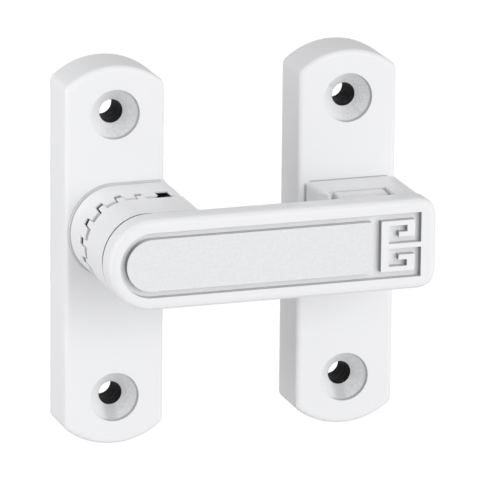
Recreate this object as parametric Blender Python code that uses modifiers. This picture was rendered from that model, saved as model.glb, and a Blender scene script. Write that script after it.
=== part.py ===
"""Flip latch for a sliding barn door, in white powder-coated die-cast zinc.

A pivot plate on the door carries a toothed hub and an arm with a Greek-key end.
The arm drops into the catch on a second plate, which stands on the wall or frame.

World axes: +X runs from the pivot plate to the catch, +Y into the door, +Z up.
The door face is the plane y = 0, and the origin is the middle of the pivot plate's back.
Every piece is drawn on the door face (x right, y up, z out of the door), and one empty
then stands that drawing upright.
"""

import math

import bmesh
import bpy
from mathutils import Vector

MM = 0.001

# Plates: both have one outline, with two countersunk holes for 5 mm wood screws
PLATE_WIDTH = 23.3 * MM
PLATE_HEIGHT = 88.6 * MM
PLATE_THICKNESS = 12.2 * MM
PLATE_END_RADIUS = 17.2 * MM
PLATE_CORNER_RADIUS = 2.2 * MM
PLATE_EDGE_RADIUS = 1.2 * MM
CATCH_SPACING = 55.2 * MM
HOLE_SPACING = 66.2 * MM
HOLE_DIAMETER = 5.4 * MM
SINK_DIAMETER = 11.4 * MM
SINK_LIP = 0.7 * MM

# Pivot: its axis beside the plate's centre, and the boss that the hub meshes with
PIVOT_RIGHT = -0.65 * MM
PIVOT_UP = 6.4 * MM
BOSS_RADIUS = 10.5 * MM
BOSS_LENGTH = 8.3 * MM
BOSS_CORNER_RADIUS = 0.3 * MM
ROUND_END_SQUASH = 0.5 * MM
BOSS_FOOT_STEP = 0.3 * MM
BOSS_FOOT_HEIGHT = 0.6 * MM
STANDOFF = 25.4 * MM

# Crown: the teeth of the boss and the hub, in mesh
TOOTH_COUNT = 14
TOOTH_PHASE = math.radians(73.0)
TOOTH_TIP_ANGLE = math.radians(6.0)
TOOTH_ROOT_ANGLE = math.radians(11.0)
FLANK_ANGLE_GAP = math.radians(1.5)
CORNER_SLOT_ANGLE = math.radians(50.5)
CORNER_SLOT_WIDTH = math.radians(11.3)
CROWN_HEIGHT = 4.9 * MM
SLIT_HEIGHT = 1.2 * MM
WINDOW_HEIGHT = 1.7 * MM
CROWN_INNER_RADIUS = 6.9 * MM
HUB_TOOTH_INSET = 0.25 * MM
HUB_RIM_WALL = 1.7 * MM

# Pivot hardware, from the rear pocket forwards
BOLT_DIAMETER = 5.0 * MM
BOLT_HEAD_DIAMETER = 8.5 * MM
BOLT_HEAD_HEIGHT = 3.5 * MM
BOLT_SOCKET_WIDTH = 3.0 * MM
BOLT_SOCKET_DEPTH = 2.0 * MM
BOLT_CHAMFER = 0.4 * MM
BOLT_END_WALL = 0.8 * MM
HEAD_RECESS = 0.8 * MM
WASHER_DIAMETER = 10.0 * MM
WASHER_THICKNESS = 1.0 * MM
POCKET_DIAMETER = 11.6 * MM
POCKET_DEPTH = 16.0 * MM
SPRING_WIRE = 1.0 * MM
SPRING_DIAMETER = 9.4 * MM
SPRING_TURNS = 3.5
BUSH_WALL = 1.3 * MM
BUSH_FLANGE_THICKNESS = 1.2 * MM
BOSS_BUSH_FLANGE_DIAMETER = 10.6 * MM
SPIGOT_DIAMETER = 8.4 * MM
SPIGOT_LENGTH = 10.8 * MM

# Clearances
FIT = 0.3 * MM
JOINT_GAP = 0.35 * MM
OVERRUN = 2.0 * MM

# Arm: lengths run from the pivot axis
ARM_THICKNESS = 5.2 * MM
ARM_EDGE_RADIUS = 1.5 * MM
ARM_CORNER_RADIUS = 4.0 * MM
ARM_END_FRAME = 3.75 * MM
CHANNEL_WIDTH = 1.5 * MM
CHANNEL_DEPTH = 1.8 * MM
PANEL_HALF = 5.95 * MM
PANEL_GAP = 2.35 * MM
KEY_RIGHT = 61.3 * MM
KEY_BAR = 1.8 * MM
KEY_WELL = 2.35 * MM
KEY_HOOK = 2.0 * MM
KEY_RIB = 1.15 * MM

# Catch: sideways sizes run from the plate's centre line, heights from its middle
CATCH_LEFT = -9.8 * MM
CATCH_TOP = 14.1 * MM
CATCH_BOTTOM = -2.9 * MM
CATCH_CORNER_RADIUS = 1.2 * MM
CATCH_EDGE_RADIUS = 0.7 * MM
SHOULDER_WIDTH = 2.65 * MM
SHOULDER_DROP = 0.6 * MM
POCKET_LEFT = -7.6 * MM
POCKET_RIGHT = 6.1 * MM
POCKET_BACK = 9.0 * MM
POCKET_FLOOR = 3.0 * MM
CHEEK_STRAIGHT = 7.3 * MM
CHEEK_REACH = 12.0 * MM
CHEEK_LEAN = 1.0 * MM
CHEEK_TIP = 0.8 * MM

# Tongue: what it leaves free in the catch's pocket, and its narrower neck from the shoulder on
TONGUE_FREE_LEFT = 1.2 * MM
TONGUE_FREE_RIGHT = 0.8 * MM
TONGUE_FREE_BACK = 0.4 * MM
TONGUE_SHOULDER = 12.8 * MM
TONGUE_NECK_INSET = 0.8 * MM
TONGUE_EDGE_RADIUS = 0.4 * MM

# Facets
ARC_STEPS = 20
CORNER_STEPS = 4
HOLE_STEPS = 32
SPRING_STEPS = 10
WELD = 0.001 * MM

# Places that follow from the sizes above
PLATE_FRONT = PLATE_THICKNESS
CROWN_ROOT = PLATE_FRONT + BOSS_LENGTH
BOSS_TIP = CROWN_ROOT + CROWN_HEIGHT - WINDOW_HEIGHT
HUB_TIP = CROWN_ROOT + SLIT_HEIGHT
HUB_ROOT = CROWN_ROOT + CROWN_HEIGHT
ARM_BACK = PLATE_FRONT + STANDOFF
ARM_FRONT = ARM_BACK + ARM_THICKNESS
HUB_FRONT = ARM_BACK - JOINT_GAP
HUB_FLANGE_RADIUS = BOSS_RADIUS - HUB_RIM_WALL - FIT
HEAD_WASHER_BACK = HEAD_RECESS + BOLT_HEAD_HEIGHT + FIT
SPRING_SEAT_BACK = POCKET_DEPTH - FIT - BUSH_FLANGE_THICKNESS - FIT - WASHER_THICKNESS
SQUARE_SIDE = PLATE_WIDTH / 2 - PIVOT_RIGHT
PITCH = 2 * math.pi / TOOTH_COUNT
CATCH_REACH = STANDOFF - JOINT_GAP
CHANNEL_HALF = PANEL_HALF + CHANNEL_WIDTH
KEY_LEFT = KEY_RIGHT - 2 * KEY_BAR - KEY_WELL - KEY_HOOK
PANEL_END = KEY_LEFT - PANEL_GAP
FRAME_END = KEY_RIGHT + CHANNEL_WIDTH
ARM_LENGTH = FRAME_END + ARM_END_FRAME
CATCH_FROM_PIVOT = CATCH_SPACING - PIVOT_RIGHT


def clear_scene():
    for item in list(bpy.data.objects):
        bpy.data.objects.remove(item, do_unlink=True)


def new_collection(name):
    group = bpy.data.collections.new(name)
    bpy.context.scene.collection.children.link(group)
    return group


clear_scene()
PARTS = new_collection("barn_door_latch")
CUTTERS = new_collection("cutters")


def make_material(name, colour, roughness, metallic):
    finish = bpy.data.materials.new(name)
    finish.use_nodes = True
    shader = finish.node_tree.nodes["Principled BSDF"]
    shader.inputs["Base Color"].default_value = (*colour, 1.0)
    shader.inputs["Roughness"].default_value = roughness
    shader.inputs["Metallic"].default_value = metallic
    finish.diffuse_color = (*colour, 1.0)
    return finish


# Outlines on the door face

def arc(centre, radius, start, stop, steps):
    """Points on an arc, both ends included, with angles in radians."""
    turn = (stop - start) / steps
    angles = [start + turn * i for i in range(steps + 1)]
    return [(centre[0] + radius * math.cos(a), centre[1] + radius * math.sin(a)) for a in angles]


def plate_outline():
    """Straight sides and an arc at each end, with the corners between them rounded."""
    side = PLATE_WIDTH / 2
    arc_centre = PLATE_HEIGHT / 2 - PLATE_END_RADIUS
    corner_x = side - PLATE_CORNER_RADIUS
    corner_rise = math.sqrt((PLATE_END_RADIUS - PLATE_CORNER_RADIUS) ** 2 - corner_x ** 2)
    corner_y = arc_centre + corner_rise
    meet = math.atan2(corner_rise, corner_x)
    top = arc((corner_x, corner_y), PLATE_CORNER_RADIUS, 0, meet, CORNER_STEPS)
    top += arc((0, arc_centre), PLATE_END_RADIUS, meet, math.pi - meet, ARC_STEPS)[1:]
    top += arc((-corner_x, corner_y), PLATE_CORNER_RADIUS, math.pi - meet, math.pi, CORNER_STEPS)[1:]
    return top + [(-x, -y) for x, y in top]


def catch_outline():
    """Rounded on the left, with a shoulder that slopes down to the plate's right side."""
    right = PLATE_WIDTH / 2
    radius = CATCH_CORNER_RADIUS
    left_x = CATCH_LEFT + radius
    bottom_y = CATCH_BOTTOM + radius
    outline = [(right, CATCH_TOP - SHOULDER_DROP), (right - SHOULDER_WIDTH, CATCH_TOP)]
    outline += arc((left_x, CATCH_TOP - radius), radius, math.pi / 2, math.pi, CORNER_STEPS)
    outline += arc((left_x, bottom_y), radius, math.pi, 3 * math.pi / 2, CORNER_STEPS)
    outline += arc((right - radius, bottom_y), radius, 3 * math.pi / 2, 2 * math.pi, CORNER_STEPS)
    return outline


def rounded_box_outline(left, right, bottom, top, radius):
    corners = ((right - radius, top - radius), (left + radius, top - radius),
               (left + radius, bottom + radius), (right - radius, bottom + radius))
    outline = []
    for i, centre in enumerate(corners):
        outline += arc(centre, radius, i * math.pi / 2, (i + 1) * math.pi / 2, CORNER_STEPS)
    return outline


def round_left_outline(half_height, right, corner_radius):
    """A slightly squashed half circle about the pivot on the left and a square end on the right."""
    squash = (half_height - ROUND_END_SQUASH) / half_height
    corner_x = right - corner_radius
    corner_y = half_height - corner_radius
    outline = arc((corner_x, corner_y), corner_radius, 0, math.pi / 2, CORNER_STEPS)
    half_circle = arc((0, 0), half_height, math.pi / 2, 3 * math.pi / 2, 2 * ARC_STEPS)
    outline += [(x * squash, y) for x, y in half_circle]
    outline += arc((corner_x, -corner_y), corner_radius, 3 * math.pi / 2, 2 * math.pi, CORNER_STEPS)
    return outline


def key_outline():
    """The Greek key's way in from the end frame, round its two hooks and back."""
    bar = KEY_LEFT + KEY_BAR
    hook = bar + KEY_WELL
    band = hook + KEY_HOOK
    step = KEY_RIB + CHANNEL_WIDTH
    rib_1 = KEY_RIB / 2
    well_1 = step - rib_1
    rib_2 = step + rib_1
    well_2 = 2 * step - rib_1
    rib_3 = 2 * step + rib_1
    upper = [(FRAME_END, rib_1), (bar, rib_1), (bar, well_2), (band, well_2), (band, rib_2), (hook, rib_2),
             (hook, well_1), (KEY_RIGHT, well_1), (KEY_RIGHT, rib_3), (KEY_LEFT, rib_3)]
    return upper + [(x, -y) for x, y in reversed(upper)]


def recess_outline():
    """The channel's outer line, which the key joins at the end frame."""
    left = arc((0, 0), CHANNEL_HALF, math.pi / 2, 3 * math.pi / 2, 2 * ARC_STEPS)
    return [(FRAME_END, CHANNEL_HALF)] + left + [(FRAME_END, -CHANNEL_HALF)] + key_outline()[::-1]


def panel_outline():
    left = arc((0, 0), PANEL_HALF, math.pi / 2, 3 * math.pi / 2, 2 * ARC_STEPS)
    return [(PANEL_END, PANEL_HALF)] + left + [(PANEL_END, -PANEL_HALF)]


# Solids

def keep(name, mesh, parent, finish=None):
    """Links a mesh as a part when it has a finish, and as a hidden cutter otherwise."""
    thing = bpy.data.objects.new(name, mesh)
    thing.parent = parent
    if finish is None:
        CUTTERS.objects.link(thing)
        thing.hide_render = True
        thing.display_type = "WIRE"
    else:
        PARTS.objects.link(thing)
        mesh.materials.append(finish)
    return thing


def extruded(name, outlines, low, high, parent, finish=None):
    """A flat outline, with holes where outlines nest, between two heights."""
    curve = bpy.data.curves.new(name, "CURVE")
    curve.dimensions = "2D"
    curve.fill_mode = "BOTH"
    curve.extrude = (high - low) / 2
    for outline in outlines:
        spline = curve.splines.new("POLY")
        spline.points.add(len(outline) - 1)
        for point, (x, y) in zip(spline.points, outline):
            point.co = (x, y, 0, 1)
        spline.use_cyclic_u = True
    drawn = bpy.data.objects.new(name + "_curve", curve)
    CUTTERS.objects.link(drawn)
    view = bpy.context.evaluated_depsgraph_get()
    mesh = bpy.data.meshes.new_from_object(drawn.evaluated_get(view))
    bpy.data.objects.remove(drawn, do_unlink=True)
    shape = bmesh.new()
    shape.from_mesh(mesh)
    bmesh.ops.translate(shape, vec=(0, 0, (low + high) / 2), verts=shape.verts)
    bmesh.ops.remove_doubles(shape, verts=shape.verts, dist=WELD)
    bmesh.ops.dissolve_limit(shape, angle_limit=math.radians(1), verts=shape.verts, edges=shape.edges)
    bmesh.ops.recalc_face_normals(shape, faces=shape.faces)
    shape.to_mesh(mesh)
    shape.free()
    mesh.name = name
    return keep(name, mesh, parent, finish)


def turned(name, profile, parent, finish=None):
    """A profile of (radius, height) points, top first, turned about the local Z axis."""
    mesh = bpy.data.meshes.new(name)
    count = len(profile)
    closed = profile[0][0] > 0
    edges = [(i, (i + 1) % count) for i in range(count if closed else count - 1)]
    mesh.from_pydata([(radius, 0, height) for radius, height in profile], edges, [])
    thing = keep(name, mesh, parent, finish)
    spin = thing.modifiers.new("turn", "SCREW")
    spin.axis = "Z"
    spin.steps = HOLE_STEPS
    spin.render_steps = HOLE_STEPS
    spin.use_merge_vertices = True
    spin.merge_threshold = WELD
    spin.use_smooth_shade = False
    return thing


def sleeve_profile(inner, outer, low, high):
    return [(inner, high), (outer, high), (outer, low), (inner, low)]


def disc_profile(radius, low, high):
    return [(0, high), (radius, high), (radius, low), (0, low)]


def sector_blocks(name, sectors, inner, outer, low, high, parent):
    """Blocks between two radii. A sector is its middle angle and its half angles, low and high."""
    shape = bmesh.new()
    for middle, half_low, half_high in sectors:
        block = bmesh.ops.create_cube(shape, size=1)
        for corner in block["verts"]:
            radius = outer if corner.co.x > 0 else inner
            half = half_high if corner.co.z > 0 else half_low
            angle = middle + 2 * half * corner.co.y
            height = high if corner.co.z > 0 else low
            corner.co = (radius * math.cos(angle), radius * math.sin(angle), height)
    mesh = bpy.data.meshes.new(name)
    shape.to_mesh(mesh)
    shape.free()
    return keep(name, mesh, parent)


def round_rim(thing, height, radius, steps=3):
    """Rounds the outer rim of a mesh's flat top at a height."""
    shape = bmesh.new()
    shape.from_mesh(thing.data)
    rim = [edge for edge in shape.edges
           if all(abs(corner.co.z - height) < WELD for corner in edge.verts)
           and edge.calc_face_angle(0) > math.radians(45)]
    bmesh.ops.bevel(shape, geom=rim, offset=radius, segments=steps, profile=0.5, affect="EDGES")
    shape.to_mesh(thing.data)
    shape.free()


def combine(thing, tool, operation="DIFFERENCE"):
    step = thing.modifiers.new(tool.name, "BOOLEAN")
    step.operation = operation
    step.solver = "EXACT"
    step.object = tool


def new_empty(name, parent=None, place=(0, 0, 0)):
    empty = bpy.data.objects.new(name, None)
    empty.empty_display_size = PLATE_WIDTH
    empty.parent = parent
    empty.location = place
    PARTS.objects.link(empty)
    return empty


# Crown: the slots of the boss hold the hub's teeth, and the corner slot holds none

def crown_angles():
    """Middle angles of the hub's teeth, without the one that the square corner leaves out."""
    return [TOOTH_PHASE + PITCH * i for i in range(TOOTH_COUNT - 1)]


def boss_sectors():
    tip = TOOTH_TIP_ANGLE / 2 + FLANK_ANGLE_GAP
    root = TOOTH_ROOT_ANGLE / 2 + FLANK_ANGLE_GAP
    slots = [(angle, tip, root) for angle in crown_angles()]
    corner = CORNER_SLOT_WIDTH / 2
    return slots + [(CORNER_SLOT_ANGLE, corner, corner)]


def hub_sectors():
    """The spaces between the hub's teeth, with the wide one at the square corner last."""
    angles = crown_angles()
    angles.append(angles[0] + 2 * math.pi)
    spaces = []
    for first, second in zip(angles, angles[1:]):
        half = (second - first) / 2
        low = half - TOOTH_TIP_ANGLE / 2
        high = half - TOOTH_ROOT_ANGLE / 2
        spaces.append(((first + second) / 2, low, high))
    return spaces


def d_outline(inset=0):
    """The shape that the boss and the hub share, flush with the plate's right side."""
    return round_left_outline(BOSS_RADIUS - inset, SQUARE_SIDE - inset, BOSS_CORNER_RADIUS)


# Plates

def drill_plate(plate, frame):
    bore = HOLE_DIAMETER / 2
    mouth = SINK_DIAMETER / 2
    cone = mouth - bore
    front = PLATE_FRONT
    profile = [(0, front + OVERRUN), (mouth, front + OVERRUN), (mouth, front - SINK_LIP),
               (bore, front - SINK_LIP - cone), (bore, -OVERRUN), (0, -OVERRUN)]
    for place, side in (("top", 1), ("bottom", -1)):
        drill = turned(f"{plate.name}_{place}_hole", profile, frame)
        drill.location.y = side * HOLE_SPACING / 2
        combine(plate, drill)


def plate_blank(name, frame, finish):
    plate = extruded(name, [plate_outline()], 0, PLATE_FRONT, frame, finish)
    round_rim(plate, PLATE_FRONT, PLATE_EDGE_RADIUS)
    return plate


def make_pivot_plate(frame, axis, finish):
    plate = plate_blank("pivot_plate", frame, finish)
    reach = math.hypot(SQUARE_SIDE, BOSS_RADIUS) + OVERRUN
    boss = extruded("boss", [d_outline()], PLATE_FRONT - PLATE_EDGE_RADIUS - OVERRUN, BOSS_TIP, axis)
    foot_outline = round_left_outline(BOSS_RADIUS + BOSS_FOOT_STEP, SQUARE_SIDE, BOSS_CORNER_RADIUS)
    foot = extruded("boss_foot", [foot_outline], PLATE_FRONT - PLATE_EDGE_RADIUS - OVERRUN,
                    PLATE_FRONT + BOSS_FOOT_HEIGHT, axis)
    slots = sector_blocks("boss_slots", boss_sectors(), CROWN_INNER_RADIUS - OVERRUN / 4, reach,
                          CROWN_ROOT, BOSS_TIP + OVERRUN, axis)
    middle = turned("boss_middle", disc_profile(CROWN_INNER_RADIUS, CROWN_ROOT, BOSS_TIP + OVERRUN), axis)
    combine(boss, foot, "UNION")
    combine(boss, slots)
    combine(boss, middle)
    combine(plate, boss, "UNION")
    drill_plate(plate, frame)
    bore = BOLT_DIAMETER / 2 + FIT + BUSH_WALL + FIT
    pocket = POCKET_DIAMETER / 2
    bore_profile = [(0, CROWN_ROOT + OVERRUN), (bore, CROWN_ROOT + OVERRUN), (bore, POCKET_DEPTH),
                    (pocket, POCKET_DEPTH), (pocket, -OVERRUN), (0, -OVERRUN)]
    combine(plate, turned("boss_bore", bore_profile, axis))
    return plate


def make_catch_plate(frame, finish):
    plate = plate_blank("catch_plate", frame, finish)
    front = PLATE_FRONT + CATCH_REACH
    block = extruded("catch_block", [catch_outline()], PLATE_FRONT - OVERRUN, front, frame)
    round_rim(block, front, CATCH_EDGE_RADIUS)
    combine(block, make_catch_pocket(frame))
    combine(plate, block, "UNION")
    drill_plate(plate, frame)
    return plate


def make_catch_pocket(frame):
    """A slot open to the top and the front, with a short leaning cheek on the left."""
    back = PLATE_FRONT + POCKET_BACK
    bend = PLATE_FRONT + CHEEK_STRAIGHT
    cheek = PLATE_FRONT + CHEEK_REACH
    front = PLATE_FRONT + CATCH_REACH + OVERRUN
    outside = CATCH_LEFT - OVERRUN
    tip = CATCH_LEFT + CHEEK_LEAN
    plan = [(POCKET_RIGHT, back), (POCKET_RIGHT, front), (outside, front), (outside, bend),
            (CATCH_LEFT, bend), (tip, cheek), (tip + CHEEK_TIP, cheek), (POCKET_LEFT, back)]
    floor = CATCH_BOTTOM + POCKET_FLOOR
    pocket = extruded("catch_pocket", [plan], -CATCH_TOP - OVERRUN, -floor, frame)
    pocket.rotation_euler.x = math.pi / 2
    return pocket


# Hub and pivot hardware

def make_hub(axis, finish):
    """A D-shaped block with crown teeth behind and a recess for its bush in front."""
    hub = extruded("hub_block", [d_outline()], HUB_ROOT, HUB_FRONT, axis, finish)
    teeth = extruded("hub_teeth", [d_outline(HUB_TOOTH_INSET)], HUB_TIP, HUB_ROOT + OVERRUN, axis)
    reach = 2 * math.hypot(SQUARE_SIDE, BOSS_RADIUS)
    combine(teeth, sector_blocks("hub_spaces", hub_sectors(), CROWN_INNER_RADIUS - OVERRUN / 4, reach,
                                 HUB_TIP - OVERRUN, HUB_ROOT, axis))
    combine(hub, teeth, "UNION")
    bore = SPIGOT_DIAMETER / 2 + FIT + BUSH_WALL + FIT
    flange = HUB_FLANGE_RADIUS + FIT
    seat = ARM_BACK - 2 * FIT - BUSH_FLANGE_THICKNESS
    profile = [(0, HUB_FRONT + OVERRUN), (flange, HUB_FRONT + OVERRUN), (flange, seat), (bore, seat),
               (bore, HUB_ROOT), (CROWN_INNER_RADIUS, HUB_ROOT), (CROWN_INNER_RADIUS, HUB_TIP - OVERRUN),
               (0, HUB_TIP - OVERRUN)]
    combine(hub, turned("hub_bore", profile, axis))
    return hub


def make_boss_bush(axis, finish):
    """Its flange lies on the pocket's floor, behind the spring's seat."""
    inner = BOLT_DIAMETER / 2 + FIT
    outer = inner + BUSH_WALL
    flange = BOSS_BUSH_FLANGE_DIAMETER / 2
    seat = POCKET_DEPTH - FIT
    profile = [(inner, CROWN_ROOT - FIT), (outer, CROWN_ROOT - FIT), (outer, seat), (flange, seat),
               (flange, seat - BUSH_FLANGE_THICKNESS), (inner, seat - BUSH_FLANGE_THICKNESS)]
    return turned("boss_bush", profile, axis, finish)


def make_hub_bush(axis, finish):
    """Its flange keeps the arm off the hub, and the arm's spigot turns in its sleeve."""
    inner = SPIGOT_DIAMETER / 2 + FIT
    outer = inner + BUSH_WALL
    face = ARM_BACK - FIT
    profile = [(inner, face), (HUB_FLANGE_RADIUS, face), (HUB_FLANGE_RADIUS, face - BUSH_FLANGE_THICKNESS),
               (outer, face - BUSH_FLANGE_THICKNESS), (outer, HUB_ROOT + FIT), (inner, HUB_ROOT + FIT)]
    return turned("hub_bush", profile, axis, finish)


def make_bolt(axis, finish):
    """A low-head socket screw from behind, fixed in the arm's spigot."""
    shank = BOLT_DIAMETER / 2
    head = BOLT_HEAD_DIAMETER / 2
    under = HEAD_RECESS + BOLT_HEAD_HEIGHT
    tip = ARM_BACK - BOLT_END_WALL - FIT
    profile = [(0, tip), (shank - BOLT_CHAMFER, tip), (shank, tip - BOLT_CHAMFER), (shank, under),
               (head, under), (head, HEAD_RECESS + BOLT_CHAMFER), (head - BOLT_CHAMFER, HEAD_RECESS),
               (0, HEAD_RECESS)]
    bolt = turned("pivot_bolt", profile, axis, finish)
    corner = BOLT_SOCKET_WIDTH / 2 / math.cos(math.pi / 6)
    hexagon = arc((0, 0), corner, 0, 2 * math.pi, 6)[:-1]
    socket = extruded("bolt_socket", [hexagon], HEAD_RECESS - OVERRUN, HEAD_RECESS + BOLT_SOCKET_DEPTH, axis)
    combine(bolt, socket)
    return bolt


def make_washer(name, low, axis, finish):
    inner = BOLT_DIAMETER / 2 + FIT
    profile = sleeve_profile(inner, WASHER_DIAMETER / 2, low, low + WASHER_THICKNESS)
    return turned(name, profile, axis, finish)


def make_spring(axis, finish):
    """One unbroken round wire between the two washers."""
    radius = (SPRING_DIAMETER - SPRING_WIRE) / 2
    low = HEAD_WASHER_BACK + WASHER_THICKNESS + FIT + SPRING_WIRE / 2
    high = SPRING_SEAT_BACK - FIT - SPRING_WIRE / 2
    count = round(SPRING_TURNS * SPRING_STEPS)
    points = []
    for i in range(count + 1):
        angle = 2 * math.pi * i / SPRING_STEPS
        height = low + (high - low) * i / count
        points.append(Vector((radius * math.cos(angle), radius * math.sin(angle), height)))
    curve = bpy.data.curves.new("return_spring", "CURVE")
    curve.dimensions = "3D"
    curve.bevel_depth = SPRING_WIRE / 2
    curve.bevel_resolution = 1
    curve.use_fill_caps = True
    spline = curve.splines.new("POLY")
    spline.points.add(count)
    for point, place in zip(spline.points, points):
        point.co = (*place, 1)
    spring = bpy.data.objects.new("return_spring", curve)
    spring.parent = axis
    PARTS.objects.link(spring)
    curve.materials.append(finish)
    gaps = [(a - b).length - SPRING_WIRE for i, a in enumerate(points)
            for b in points[i + SPRING_STEPS // 2:]]
    print(f"Least gap between the spring's turns: {min(gaps) / MM:.2f} mm")
    return spring


# Arm

def make_tongue(axis):
    """The head and neck behind the arm's end that drop into the catch's pocket."""
    left = CATCH_FROM_PIVOT + POCKET_LEFT + TONGUE_FREE_LEFT
    right = CATCH_FROM_PIVOT + POCKET_RIGHT - TONGUE_FREE_RIGHT
    bottom = CATCH_BOTTOM + POCKET_FLOOR + FIT - PIVOT_UP
    top = CATCH_TOP - FIT - PIVOT_UP
    back = PLATE_FRONT + POCKET_BACK + TONGUE_FREE_BACK
    shoulder = PLATE_FRONT + TONGUE_SHOULDER
    outline = rounded_box_outline(left, right, bottom, top, TONGUE_EDGE_RADIUS)
    tongue = extruded("tongue", [outline], back, shoulder, axis)
    inset = TONGUE_NECK_INSET
    outline = rounded_box_outline(left + inset, right - inset, bottom, top - inset, TONGUE_EDGE_RADIUS)
    neck = extruded("tongue_neck", [outline], shoulder - inset, ARM_BACK + ARM_THICKNESS / 4, axis)
    combine(tongue, neck, "UNION")
    return tongue


def make_arm(axis, finish):
    outline = round_left_outline(BOSS_RADIUS, ARM_LENGTH, ARM_CORNER_RADIUS)
    arm = extruded("flip_arm", [outline], ARM_BACK, ARM_FRONT, axis, finish)
    round_rim(arm, ARM_FRONT, ARM_EDGE_RADIUS)
    recess = extruded("arm_recess", [recess_outline(), panel_outline()], ARM_FRONT - CHANNEL_DEPTH,
                      ARM_FRONT + OVERRUN, axis)
    combine(arm, recess)
    combine(arm, make_tongue(axis), "UNION")
    spigot_end = ARM_BACK - SPIGOT_LENGTH
    spigot = disc_profile(SPIGOT_DIAMETER / 2, spigot_end, ARM_BACK + ARM_THICKNESS / 4)
    combine(arm, turned("spigot", spigot, axis), "UNION")
    hole = disc_profile(BOLT_DIAMETER / 2 + FIT, spigot_end - OVERRUN, ARM_BACK - BOLT_END_WALL)
    combine(arm, turned("spigot_hole", hole, axis))
    return arm


def build():
    white = make_material("white_powder_coat", (0.87, 0.88, 0.89), 0.32, 0.0)
    steel = make_material("zinc_plated_steel", (0.62, 0.63, 0.64), 0.34, 1.0)
    nylon = make_material("black_nylon", (0.03, 0.03, 0.03), 0.5, 0.0)
    door_face = new_empty("door_face")
    door_face.rotation_euler.x = math.pi / 2
    axis = new_empty("pivot_axis", door_face, (PIVOT_RIGHT, PIVOT_UP, 0))
    catch_frame = new_empty("catch_frame", door_face, (CATCH_SPACING, 0, 0))
    make_pivot_plate(door_face, axis, white)
    make_hub(axis, white)
    make_boss_bush(axis, nylon)
    make_hub_bush(axis, nylon)
    make_spring(axis, steel)
    make_washer("head_washer", HEAD_WASHER_BACK, axis, steel)
    make_washer("spring_seat", SPRING_SEAT_BACK, axis, steel)
    make_bolt(axis, steel)
    make_arm(axis, white)
    make_catch_plate(catch_frame, white)


build()
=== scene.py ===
"""Looks for the barn door latch: white powder coat, thinner in the countersinks, steel and nylon.

World axes are the part's own: +X from the pivot plate to the catch, +Y into the door, +Z up.
"""

import math

import bpy
from mathutils import Matrix, Vector

MM = 0.001

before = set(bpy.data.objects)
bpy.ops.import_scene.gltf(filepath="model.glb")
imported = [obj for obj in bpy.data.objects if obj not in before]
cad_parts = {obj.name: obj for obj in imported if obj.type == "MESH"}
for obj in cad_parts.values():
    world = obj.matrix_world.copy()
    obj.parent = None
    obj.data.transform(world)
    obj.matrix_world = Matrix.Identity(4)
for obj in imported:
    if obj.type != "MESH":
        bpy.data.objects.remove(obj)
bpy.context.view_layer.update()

# Places on the part, as in its source
PLATE_FRONT = -12.2 * MM
ARM_FRONT = -42.8 * MM
HOLE_UP = 33.1 * MM
CATCH_X = 55.2 * MM
PIVOT = Vector((-0.65 * MM, 0, 6.4 * MM))
CATCH_LEFT = 45.4 * MM
CATCH_BOTTOM = -2.9 * MM
CATCH_TOP = 14.1 * MM
MOUTH_RADIUS = 5.7 * MM
BORE_RADIUS = 2.7 * MM
BOSS_RADIUS = 10.5 * MM
SQUARE_SIDE = 12.3 * MM
ROUND_END_STRETCH = 10.5 / 10.0  # the boss's round end is squashed to 10.0 mm along the arm
CROWN_ROOT = -20.5 * MM
HUB_ROOT = -25.4 * MM
HUB_FRONT = -37.25 * MM
ARM_BACK = -37.6 * MM
CORNER_SLOT = math.radians(50.5)  # the crown's wide slot, near the square side's upper corner
CHANNEL_HALF = 7.45 * MM
CHANNEL_FLOOR = -41.0 * MM
PANEL_HALF = 5.95 * MM
PANEL_END = 51.0 * MM
FRAME_END = 62.8 * MM


# Camera: the photograph's viewpoint, fitted to the plates and their four holes

YAW = 0.3203
PITCH = 0.2756
ROLL = 0.0095
SENSOR_WIDTH = 36.0
LENS = 427.3
DISTANCE = 1306.05 * MM
TARGET = Vector((33.68 * MM, 0, -2.01 * MM))
NEAREST = 0.05
FARTHEST = 1000.0


def make_camera():
    ahead = Vector((math.sin(YAW) * math.cos(PITCH), math.cos(YAW) * math.cos(PITCH),
                    -math.sin(PITCH)))
    level = Vector((math.cos(YAW), -math.sin(YAW), 0))
    upright = level.cross(ahead)
    right = math.cos(ROLL) * level + math.sin(ROLL) * upright
    up = -math.sin(ROLL) * level + math.cos(ROLL) * upright
    data = bpy.data.cameras.new("photo_camera")
    data.sensor_width = SENSOR_WIDTH
    data.lens = LENS
    data.clip_start = NEAREST
    data.clip_end = FARTHEST
    camera = bpy.data.objects.new("photo_camera", data)
    bpy.context.scene.collection.objects.link(camera)
    turn = Matrix((right, up, -ahead)).transposed()
    camera.matrix_world = Matrix.Translation(TARGET - ahead * DISTANCE) @ turn.to_4x4()
    bpy.context.scene.camera = camera


# Nodes. Blender's noise lies mostly between the low and the high value here.

NOISE_LOW = 0.3
NOISE_HIGH = 0.7


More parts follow.
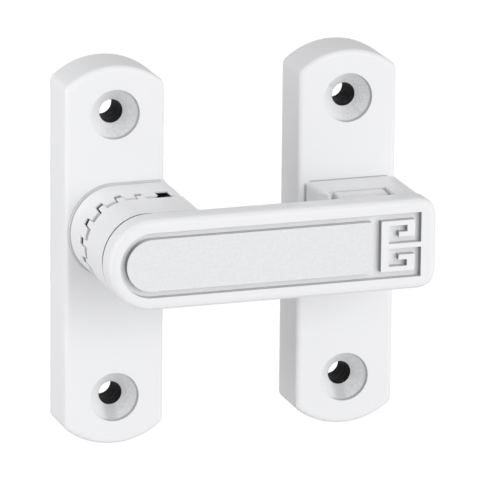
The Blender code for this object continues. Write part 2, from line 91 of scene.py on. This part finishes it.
class Graph:
    """Short names for the nodes of the world or of a material."""

    def __init__(self, tree):
        self.nodes = tree.nodes
        self.links = tree.links

    def put(self, socket, value):
        """Links a node's output to a socket, or sets the socket to a plain value."""
        if hasattr(value, "is_linked"):
            self.links.new(value, socket)
        else:
            socket.default_value = value

    def coordinates(self, name):
        return self.nodes.new("ShaderNodeTexCoord").outputs[name]

    def split(self, vector):
        node = self.nodes.new("ShaderNodeSeparateXYZ")
        self.links.new(vector, node.inputs[0])
        return node.outputs

    def math(self, operation, *values):
        node = self.nodes.new("ShaderNodeMath")
        node.operation = operation
        for socket, value in zip(node.inputs, values):
            self.put(socket, value)
        return node.outputs[0]

    def product(self, *factors):
        result = factors[0]
        for factor in factors[1:]:
            result = self.math("MULTIPLY", result, factor)
        return result

    def length(self, first, second):
        squares = [self.math("MULTIPLY", value, value) for value in (first, second)]
        return self.math("SQRT", self.math("ADD", *squares))

    def ramp(self, value, low, high, at_low, at_high, curve="LINEAR"):
        """Turns low to high into at_low to at_high, and holds those beyond them."""
        node = self.nodes.new("ShaderNodeMapRange")
        node.interpolation_type = curve
        self.put(node.inputs["Value"], value)
        node.inputs["From Min"].default_value = low
        node.inputs["From Max"].default_value = high
        node.inputs["To Min"].default_value = at_low
        node.inputs["To Max"].default_value = at_high
        return node.outputs["Result"]

    def below(self, value, limit, soft):
        """1 where value is under limit and 0 above it, over a width of soft."""
        return self.ramp(value, limit - soft / 2, limit + soft / 2, 1, 0, "SMOOTHSTEP")

    def above(self, value, limit, soft):
        """1 where value is over limit and 0 below it, over a width of soft."""
        return self.below(self.math("MULTIPLY", value, -1.0), -limit, soft)

    def between(self, value, low, high, soft):
        """1 where value is between two limits."""
        return self.math("SUBTRACT", self.below(value, high, soft), self.below(value, low, soft))

    def span(self, value, start, low, high, soft):
        """1 from low to high mm beyond start, with ends soft mm wide. An end of None is open."""
        if low is None:
            return self.below(value, start + high * MM, soft * MM)
        if high is None:
            return self.above(value, start + low * MM, soft * MM)
        return self.between(value, start + low * MM, start + high * MM, soft * MM)

    def mix(self, factor, first, second):
        """Two colours mixed."""
        node = self.nodes.new("ShaderNodeMix")
        node.data_type = "RGBA"
        self.put(node.inputs["Factor"], factor)
        for key, value in (("A", first), ("B", second)):
            socket = [item for item in node.inputs if item.name == key and item.type == "RGBA"][0]
            self.put(socket, (*value, 1) if isinstance(value, tuple) else value)
        return [item for item in node.outputs if item.type == "RGBA"][0]

    def mix_value(self, factor, first, second):
        """Two numbers mixed."""
        node = self.nodes.new("ShaderNodeMix")
        self.put(node.inputs[0], factor)
        self.put(node.inputs[2], first)
        self.put(node.inputs[3], second)
        return node.outputs[0]


class Paint(Graph):
    """A material, whose masks are worked out from places on the part."""

    def __init__(self, name):
        self.material = bpy.data.materials.new(name)
        self.material.use_nodes = True
        super().__init__(self.material.node_tree)
        self.shader = self.nodes["Principled BSDF"]
        self.place = self.coordinates("Object")

    def axes(self):
        return self.split(self.place)

    def from_pivot(self):
        """Distances from the pivot axis along the arm and across it, and into the door."""
        x, y, z = self.axes()
        return self.math("SUBTRACT", x, PIVOT.x), self.math("SUBTRACT", z, PIVOT.z), y

    def noise(self, scale, detail, place=None):
        node = self.nodes.new("ShaderNodeTexNoise")
        node.inputs["Scale"].default_value = scale
        node.inputs["Detail"].default_value = detail
        self.links.new(self.place if place is None else place, node.inputs["Vector"])
        return node.outputs["Fac"]

    def spread(self, grain, low, high):
        """Noise of a grain, spread from low to high."""
        return self.ramp(self.noise(*grain), NOISE_LOW, NOISE_HIGH, low, high)

    def mottle(self, grain, shades):
        """Two shades mixed by noise of a grain."""
        return self.mix(self.spread(grain, 0.0, 1.0), *shades)

    def set(self, name, value):
        self.put(self.shader.inputs[name], value)

    def bump(self, height, strength, distance, normal=None):
        node = self.nodes.new("ShaderNodeBump")
        node.inputs["Strength"].default_value = strength
        node.inputs["Distance"].default_value = distance
        self.links.new(height, node.inputs["Height"])
        if normal is not None:
            self.links.new(normal, node.inputs["Normal"])
        self.set("Normal", node.outputs["Normal"])


# Studio. A fall of the world's light is an axis, two values along it of the direction that light
# comes from, and the light's strength at each. A lamp is its name, its place, its width and height
# in metres and its power in watts.

WORLD_FALLS = (("X", -0.8, 0.0, 0.23, 0.83),
               ("Y", -0.1, 0.5, 1.0, 0.65),
               ("Z", 0.4, 1.0, 1.0, 0.7))
LAMPS = (("front_box", (0.38, -1.27, 0.30), 0.8, 0.8, 7.2),
         ("left_card", (-0.28, 0.0, 0.055), 0.27, 0.54, 0.96),
         ("back_box", (0.03, 1.3, 0.05), 0.4, 0.4, 3.0))
LAMP_TARGET = Vector((0.027, 0, 0))
WHITE = (1, 1, 1, 1)
FLOOR_PAINT = {"Base Color": (0.9, 0.9, 0.9, 1), "Roughness": 1.0,
               "Emission Color": WHITE, "Emission Strength": 0.6}
FLOOR_SIZE = 400
FLOOR_HEIGHT = -1.5


def make_world():
    """A room whose light is dimmer on the left, behind and above, on a plain white background."""
    world = bpy.data.worlds.new("studio")
    bpy.context.scene.world = world
    world.use_nodes = True
    graph = Graph(world.node_tree)
    direction = graph.split(graph.coordinates("Generated"))
    light = graph.product(*[graph.ramp(direction[axis], *fall) for axis, *fall in WORLD_FALLS])
    seen = graph.nodes.new("ShaderNodeLightPath").outputs["Is Camera Ray"]
    background = graph.nodes["Background"]
    graph.put(background.inputs["Color"], WHITE)
    graph.put(background.inputs["Strength"], graph.math("MAXIMUM", light, seen))


def make_floor():
    """A pale floor far below, which lights nothing and shows only from above."""
    bpy.ops.mesh.primitive_plane_add(size=FLOOR_SIZE, location=(0, 0, FLOOR_HEIGHT))
    floor = bpy.context.active_object
    floor.name = "floor"
    material = bpy.data.materials.new("floor_white")
    material.use_nodes = True
    shader = material.node_tree.nodes["Principled BSDF"]
    for name, value in FLOOR_PAINT.items():
        shader.inputs[name].default_value = value
    floor.data.materials.append(material)
    floor.visible_diffuse = False
    floor.visible_glossy = False


def make_lamp(name, place, width, height, power):
    data = bpy.data.lights.new(name, "AREA")
    data.shape = "RECTANGLE"
    data.size = width
    data.size_y = height
    data.energy = power
    lamp = bpy.data.objects.new(name, data)
    lamp.visible_camera = False
    lamp.visible_glossy = False
    lamp.location = place
    lamp.rotation_euler = (LAMP_TARGET - Vector(place)).to_track_quat("-Z", "Y").to_euler()
    bpy.context.scene.collection.objects.link(lamp)


# Powder coat. Shades are the two colours that noise mixes, and a grain is that noise's scale, per
# metre, and its detail.

COAT_SHADES = ((0.855, 0.857, 0.87), (0.87, 0.872, 0.885))
SINK_SHADES = ((0.68, 0.685, 0.70), (0.81, 0.815, 0.83))
PANEL_SHADES = ((0.77, 0.775, 0.79), (0.82, 0.825, 0.84))
# Painted shade for gaps that no light reaches
GAP_SHADE_TONES = ((0.004, 0.004, 0.005), (0.014, 0.014, 0.016))
# Painted shade inside the bores, over their cast metal
BORE_SHADOW_TONES = ((0.001, 0.001, 0.002), (0.06, 0.06, 0.063))
# Painted highlight: the lighter left side of a countersink
SINK_LIT_WHITE = COAT_SHADES[1]
# Painted shade on a countersink's right lip and at the catch's foot
PAINTED_SHADE_GREY = (0.5, 0.505, 0.52)
# A darker streak in the lower countersinks, below the bore
STREAK_GREY = (0.6, 0.605, 0.62)
# Thin coat on the channel walls with painted shade over it; also the painted shade at the boss's
# foot
WALL_COAT_AND_SHADE = (0.64, 0.645, 0.66)
# Painted shade on channel walls that face left
LEFT_WALL_SHADE = (0.32, 0.323, 0.335)

COAT_GRAIN = (35.0, 4.0)
GLOSS_GRAIN = (60.0, 3.0)
PEEL_GRAIN = (900.0, 2.0)
SINK_GRAIN = (1800.0, 3.0)
PANEL_GRAIN = (1500.0, 3.0)
GAP_SHADE_GRAIN = (500.0, 3.0)
BORE_GRAIN = (900.0, 4.0)
SCRAPE_POWER = 2.0

COAT_ROUGHNESS = (0.31, 0.39)
FOOT_SHADE_ROUGHNESS = 0.6
SINK_ROUGHNESS = 0.45
LIT_SIDE_AND_STREAK_ROUGHNESS = 0.4
LIP_ROUGHNESS = 0.5
BORE_ROUGHNESS = 0.5
PANEL_ROUGHNESS = 0.45
WALL_ROUGHNESS = 0.5
GAP_SHADE_ROUGHNESS = 0.7
SPECULAR = 0.5
DULL_SPECULAR = 0.03
BORE_DULLNESS = 0.85

SOFT_EDGE = 0.3 * MM
CRISP_EDGE = 0.08 * MM
EDGE_SAMPLES = 6
PEEL_STRENGTH = 0.10
PEEL_DEPTH = 0.04 * MM


def white_coat(name, masks):
    """Powder coat with a faint orange peel and softened edges.

    masks gives the finish and painted shade that go over it in turn, each a factor, a colour and a
    roughness, and the factors of crisp edges and of a dull surface.
    """
    paint = Paint(name)
    colour = paint.mottle(COAT_GRAIN, COAT_SHADES)
    roughness = paint.spread(GLOSS_GRAIN, *COAT_ROUGHNESS)
    finishes_and_shade, crisp, dull = masks(paint)
    for factor, other_colour, other_roughness in finishes_and_shade:
        colour = paint.mix(factor, colour, other_colour)
        roughness = paint.mix_value(factor, roughness, other_roughness)
    paint.set("Base Color", colour)
    paint.set("Roughness", roughness)
    paint.set("Specular IOR Level", paint.mix_value(dull, SPECULAR, DULL_SPECULAR))
    edges = paint.nodes.new("ShaderNodeBevel")
    edges.samples = EDGE_SAMPLES
    paint.put(edges.inputs["Radius"], paint.mix_value(crisp, SOFT_EDGE, CRISP_EDGE))
    paint.bump(paint.noise(*PEEL_GRAIN), PEEL_STRENGTH, PEEL_DEPTH, edges.outputs["Normal"])
    return paint.material


def gap_shade(paint):
    """Painted shade, near black and mottled, for a gap that no light reaches."""
    return paint.mottle(GAP_SHADE_GRAIN, GAP_SHADE_TONES)


def bore_cast_and_shade(paint):
    """Rough cast metal in a bore, painted near black as its shade, with a few paler scrapes."""
    scrapes = paint.math("POWER", paint.spread(BORE_GRAIN, 0.0, 1.0), SCRAPE_POWER)
    return paint.mix(scrapes, *BORE_SHADOW_TONES)


def round_end(paint, along, across):
    """Distance from the pivot's spine, with the squashed left end stretched back to a circle."""
    behind = paint.math("MULTIPLY", paint.math("MINIMUM", along, 0.0), ROUND_END_STRETCH)
    return paint.length(across, behind)


# Masks. A span is its low and high end and the width of its soft ends in mm, as in Graph.span, and
# the comment beside it names the place that it starts from.

FOOT_FACE_ROUND = (-0.02, 0.35, 0.04)  # BOSS_RADIUS
FOOT_FACE_DEEP = (-0.75, -0.5, 0.05)  # PLATE_FRONT
FOOT_RING_ROUND = (0.2, 0.5, 0.1)  # BOSS_RADIUS
FOOT_RING_DEEP = (-0.15, 0.3, 0.05)  # PLATE_FRONT
FOOT_ALONG = (None, -1.0, 0.5)  # SQUARE_SIDE


def boss_foot_shade(paint):
    """Painted shade in the crease round the boss, on its foot's face and on the plate beside the
    foot.
    """
    along, across, into = paint.from_pivot()
    radius = round_end(paint, along, across)
    face = paint.product(paint.span(radius, BOSS_RADIUS, *FOOT_FACE_ROUND),
                         paint.span(into, PLATE_FRONT, *FOOT_FACE_DEEP))
    ring = paint.product(paint.span(radius, BOSS_RADIUS, *FOOT_RING_ROUND),
                         paint.span(into, PLATE_FRONT, *FOOT_RING_DEEP))
    return paint.product(paint.math("MAXIMUM", face, ring),
                         paint.span(along, SQUARE_SIDE, *FOOT_ALONG))


# Where the painted shade at the catch's foot lies
LEFT_FOOT_SHADE = (-0.55, 0.05, 0.35)  # CATCH_LEFT
LEFT_SHADE_BOTTOM = (0.0, None, 1.0)  # CATCH_BOTTOM
LEFT_SHADE_TOP = (None, -0.5, 1.0)  # CATCH_TOP
TOP_FOOT_SHADE = (-0.05, 0.2, 0.1)  # CATCH_TOP
TOP_SHADE_ALONG = (0.8, 19.5, 0.5)  # CATCH_LEFT
CATCH_SHADE_DEEP = (-0.2, 0.3, 0.1)  # PLATE_FRONT


def catch_foot_shade(paint):
    """Painted shade in the crease round the foot of the catch, widest on its left."""
    x, y, z = paint.axes()
    left = paint.product(paint.span(x, CATCH_LEFT, *LEFT_FOOT_SHADE),
                         paint.span(z, CATCH_BOTTOM, *LEFT_SHADE_BOTTOM),
                         paint.span(z, CATCH_TOP, *LEFT_SHADE_TOP))
    top = paint.product(paint.span(z, CATCH_TOP, *TOP_FOOT_SHADE),
                        paint.span(x, CATCH_LEFT, *TOP_SHADE_ALONG))
    return paint.product(paint.math("MAXIMUM", left, top),
                         paint.span(y, PLATE_FRONT, *CATCH_SHADE_DEEP))


SKIN = (None, -0.35, 0.3)  # BOSS_RADIUS
LIT_ACROSS = (7.8, None, 2.0)  # the pivot axis
LIT_ALONG = (None, 5.5, 1.0)  # the pivot axis
# painted light: the share of the painted shade kept in the slits that light reaches
LIT_SHADE = 0.55


def crown_inside(paint):
    """Painted shade: 1 inside the outer skin of the boss, and less in the slits that the light
    reaches.
    """
    along, across, into = paint.from_pivot()
    reach = paint.math("SUBTRACT", along, SQUARE_SIDE - BOSS_RADIUS)
    outermost = paint.math("MAXIMUM", round_end(paint, along, across), reach)
    lit = paint.product(paint.span(across, 0.0, *LIT_ACROSS), paint.span(along, 0.0, *LIT_ALONG))
    shade = paint.mix_value(lit, 1.0, LIT_SHADE)
    return paint.product(paint.span(outermost, BOSS_RADIUS, *SKIN), shade)


SINK_ROUND = (None, 0.05, 0.05)  # MOUTH_RADIUS
SINK_DEEP = (0.15, 4.5, 0.1)  # PLATE_FRONT
BORE_ROUND = (None, 0.04, 0.04)  # BORE_RADIUS
LIT_SIDE_SPAN = (None, -2.0, 6.0)  # the hole's middle
STREAK_WIDE = (-1.7, 1.0, 1.6)  # the hole's middle
STREAK_DOWN = (None, -2.2, 1.0)  # the lower hole's middle
LIP_ROUND = (-0.25, 0.05, 0.2)  # MOUTH_RADIUS
LIP_SIDE = (-2.0, None, 4.0)  # the hole's middle
ROOT_DEEP = (-0.5, 0.1, 0.2)  # CROWN_ROOT
CORNER_DEEP = (None, 0.1, 0.2)  # CROWN_ROOT
CRISP_PLATE_DEEP = (None, 1.0, 1.0)  # CROWN_ROOT
CORNER_ANGLE = (0.115, 0.01)  # half the corner slot and the width of its soft end, in radians


def plate_masks(paint):
    """Both plates: thin-coated countersinks; painted shade in the bores, crown roots and creases.

    A countersink has a painted highlight on its left and painted shade on its right lip, and is
    darker in a streak below the lower bore.
    """
    x, y, z = paint.axes()
    up = paint.math("SUBTRACT", paint.math("ABSOLUTE", z), HOLE_UP)
    aside = paint.math("ABSOLUTE", x)
    aside_catch = paint.math("ABSOLUTE", paint.math("SUBTRACT", x, CATCH_X))
    radius = paint.length(up, paint.math("MINIMUM", aside, aside_catch))
    sunk = paint.span(y, PLATE_FRONT, *SINK_DEEP)
    sink = paint.product(paint.span(radius, MOUTH_RADIUS, *SINK_ROUND), sunk)
    # Painted shade inside the bores
    bore = paint.span(radius, BORE_RADIUS, *BORE_ROUND)
    shifted = paint.math("MODULO", paint.math("ADD", x, CATCH_X / 2), CATCH_X)
    beside = paint.math("SUBTRACT", shifted, CATCH_X / 2)
    # Painted highlight on the left of each countersink
    lit_side = paint.product(paint.span(beside, 0.0, *LIT_SIDE_SPAN), sink)
    # A darker streak below each lower bore
    streak = paint.product(paint.span(beside, 0.0, *STREAK_WIDE),
                           paint.span(z, -HOLE_UP, *STREAK_DOWN), sink)
    # Painted shade on each countersink's right lip
    lip = paint.product(paint.span(radius, MOUTH_RADIUS, *LIP_ROUND), sunk,
                        paint.span(beside, 0.0, *LIP_SIDE))
    along, across, into = paint.from_pivot()
    # Painted shade in the crown's roots and its corner slot, inside the boss's skin
    root = paint.span(into, CROWN_ROOT, *ROOT_DEEP)
    angle = paint.math("SUBTRACT", paint.math("ARCTAN2", across, along), CORNER_SLOT)
    corner = paint.product(paint.below(paint.math("ABSOLUTE", angle), *CORNER_ANGLE),
                           paint.span(into, CROWN_ROOT, *CORNER_DEEP))
    crown = paint.product(paint.math("MAXIMUM", root, corner), crown_inside(paint))
    # The first two are painted shade in the creases at the feet of the boss and the catch
    finishes_and_shade = [(boss_foot_shade(paint), WALL_COAT_AND_SHADE, FOOT_SHADE_ROUGHNESS),
                (catch_foot_shade(paint), PAINTED_SHADE_GREY, FOOT_SHADE_ROUGHNESS),
                (sink, paint.mottle(SINK_GRAIN, SINK_SHADES), SINK_ROUGHNESS),
                (lit_side, SINK_LIT_WHITE, LIT_SIDE_AND_STREAK_ROUGHNESS),
                (streak, STREAK_GREY, LIT_SIDE_AND_STREAK_ROUGHNESS),
                (lip, PAINTED_SHADE_GREY, LIP_ROUGHNESS),
                (bore, bore_cast_and_shade(paint), BORE_ROUGHNESS),
                (crown, gap_shade(paint), GAP_SHADE_ROUGHNESS)]
    crisp = paint.span(into, CROWN_ROOT, *CRISP_PLATE_DEEP)
    dull = paint.math("MAXIMUM", crown, paint.math("MULTIPLY", bore, BORE_DULLNESS))
    return finishes_and_shade, crisp, dull


RIM_DEEP = (None, 0.12, 0.04)  # HUB_FRONT
RIM_ROUND = (-0.45, None, 0.1)  # BOSS_RADIUS
RIM_ALONG = (None, 0.5, 4.0)  # the pivot axis
RIM_ACROSS = (0.0, None, 4.0)  # the pivot axis
CRISP_HUB_DEEP = (-0.6, None, 0.5)  # HUB_ROOT


def hub_masks(paint):
    """The hub: painted shade on the upper left rim of its face, in the gap to the arm, with crisp
    teeth.
    """
    along, across, into = paint.from_pivot()
    # Painted shade in the gap between the hub and the arm
    rim = paint.product(paint.span(into, HUB_FRONT, *RIM_DEEP),
                        paint.span(round_end(paint, along, across), BOSS_RADIUS, *RIM_ROUND),
                        paint.span(along, 0.0, *RIM_ALONG),
                        paint.span(across, 0.0, *RIM_ACROSS))
    crisp = paint.span(into, HUB_ROOT, *CRISP_HUB_DEEP)
    return [(rim, gap_shade(paint), GAP_SHADE_ROUGHNESS)], crisp, rim


PANEL_ROUND = (None, 0.05, 0.05)  # PANEL_HALF
PANEL_ALONG = (None, 0.05, 0.1)  # PANEL_END
PANEL_DEEP = (None, 0.3, 0.1)  # ARM_FRONT
RECESS_ROUND = (None, 0.5, 0.1)  # CHANNEL_HALF
RECESS_ALONG = (None, 0.5, 0.1)  # FRAME_END
RECESS_DEEP = (None, 0.5, 0.1)  # CHANNEL_FLOOR
WALL_ROUND = (None, 0.15, 0.05)  # CHANNEL_HALF
WALL_ALONG = (None, 0.15, 0.05)  # FRAME_END
WALL_FRONT = (0.15, None, 0.05)  # ARM_FRONT
WALL_FOOT = (None, -0.1, 0.05)  # CHANNEL_FLOOR
BACK_ROUND = (None, -0.75, 0.3)  # BOSS_RADIUS
BACK_DEEP = (-0.1, None, 0.1)  # ARM_BACK
LEFTWARD = (-0.5, 0.6)  # a leftward normal's highest X and the width of its soft end


def arm_masks(paint):
    """The arm: a finer, greyer panel; a crisp channel with thin-coated walls in painted shade.

    The back has painted shade where it lies before the hub.
    """
    along, across, into = paint.from_pivot()
    radius = paint.length(across, paint.math("MINIMUM", along, 0.0))
    panel = paint.product(paint.span(radius, PANEL_HALF, *PANEL_ROUND),
                          paint.span(along, PANEL_END, *PANEL_ALONG),
                          paint.span(into, ARM_FRONT, *PANEL_DEEP))
    recess = paint.product(paint.span(radius, CHANNEL_HALF, *RECESS_ROUND),
                           paint.span(along, FRAME_END, *RECESS_ALONG),
                           paint.span(into, CHANNEL_FLOOR, *RECESS_DEEP))
    walls = paint.product(paint.span(radius, CHANNEL_HALF, *WALL_ROUND),
                          paint.span(along, FRAME_END, *WALL_ALONG),
                          paint.span(into, ARM_FRONT, *WALL_FRONT),
                          paint.span(into, CHANNEL_FLOOR, *WALL_FOOT))
    # Painted shade on the arm's back, in the gap before the hub
    back = paint.product(paint.span(paint.length(along, across), BOSS_RADIUS, *BACK_ROUND),
                         paint.span(into, ARM_BACK, *BACK_DEEP))
    # Painted shade: channel walls that face left are darker still
    facing_left = paint.below(paint.split(paint.coordinates("Normal"))["X"], *LEFTWARD)
    finishes_and_shade = [(panel, paint.mottle(PANEL_GRAIN, PANEL_SHADES), PANEL_ROUGHNESS),
                (walls, paint.mix(facing_left, WALL_COAT_AND_SHADE, LEFT_WALL_SHADE), WALL_ROUGHNESS),
                (back, gap_shade(paint), GAP_SHADE_ROUGHNESS)]
    return finishes_and_shade, recess, back


# Steel and nylon

STEEL_SHADES = ((0.56, 0.575, 0.6), (0.69, 0.685, 0.66))
STEEL_GRAIN = (160.0, 3.0)
STEEL_GLOSS_GRAIN = (260.0, 4.0)
STEEL_ROUGHNESS = (0.24, 0.42)
LATHE_GRAIN = (6000.0, 2.0)
LATHE_STRENGTH = 0.35
LATHE_DEPTH = 0.02 * MM

NYLON_SHADES = ((0.02, 0.02, 0.021), (0.042, 0.042, 0.044))
NYLON_GRAIN = (220.0, 3.0)
NYLON_GLOSS_GRAIN = (700.0, 3.0)
NYLON_ROUGHNESS = (0.42, 0.62)
MOULD_GRAIN = (2600.0, 4.0)
MOULD_STRENGTH = 0.3
MOULD_DEPTH = 0.03 * MM


def rings(paint):
    """Places on rings about the pivot axis, so that noise on them looks turned on a lathe."""
    along, across, into = paint.from_pivot()
    join = paint.nodes.new("ShaderNodeCombineXYZ")
    paint.put(join.inputs["X"], paint.length(along, across))
    paint.put(join.inputs["Y"], into)
    return join.outputs[0]


def turned_steel():
    """Bright zinc over fine lathe rings, a little mottled."""
    paint = Paint("zinc_steel")
    paint.set("Base Color", paint.mottle(STEEL_GRAIN, STEEL_SHADES))
    paint.set("Roughness", paint.spread(STEEL_GLOSS_GRAIN, *STEEL_ROUGHNESS))
    paint.set("Metallic", 1.0)
    paint.bump(paint.noise(*LATHE_GRAIN, rings(paint)), LATHE_STRENGTH, LATHE_DEPTH)
    return paint.material


def moulded_nylon():
    """Black nylon with the fine grain of its mould."""
    paint = Paint("nylon")
    paint.set("Base Color", paint.mottle(NYLON_GRAIN, NYLON_SHADES))
    paint.set("Roughness", paint.spread(NYLON_GLOSS_GRAIN, *NYLON_ROUGHNESS))
    paint.bump(paint.noise(*MOULD_GRAIN), MOULD_STRENGTH, MOULD_DEPTH)
    return paint.material


WELD_DISTANCE = 0.002 * MM


def dress(material, *names):
    """Gives nodes their material, and welds points that coincide in their meshes."""
    for name in names:
        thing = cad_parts[name]
        thing.data.materials.clear()
        thing.data.materials.append(material)
        weld = thing.modifiers.new("weld", "WELD")
        weld.merge_threshold = WELD_DISTANCE


make_camera()
make_world()
make_floor()
for lamp in LAMPS:
    make_lamp(*lamp)

dress(white_coat("plate_coat", plate_masks), "pivot_plate", "catch_plate")
dress(white_coat("hub_coat", hub_masks), "hub_block")
dress(white_coat("arm_coat", arm_masks), "flip_arm")
dress(turned_steel(), "pivot_bolt", "head_washer", "spring_seat", "return_spring")
dress(moulded_nylon(), "boss_bush", "hub_bush")

bpy.context.scene.view_settings.view_transform = "Standard"
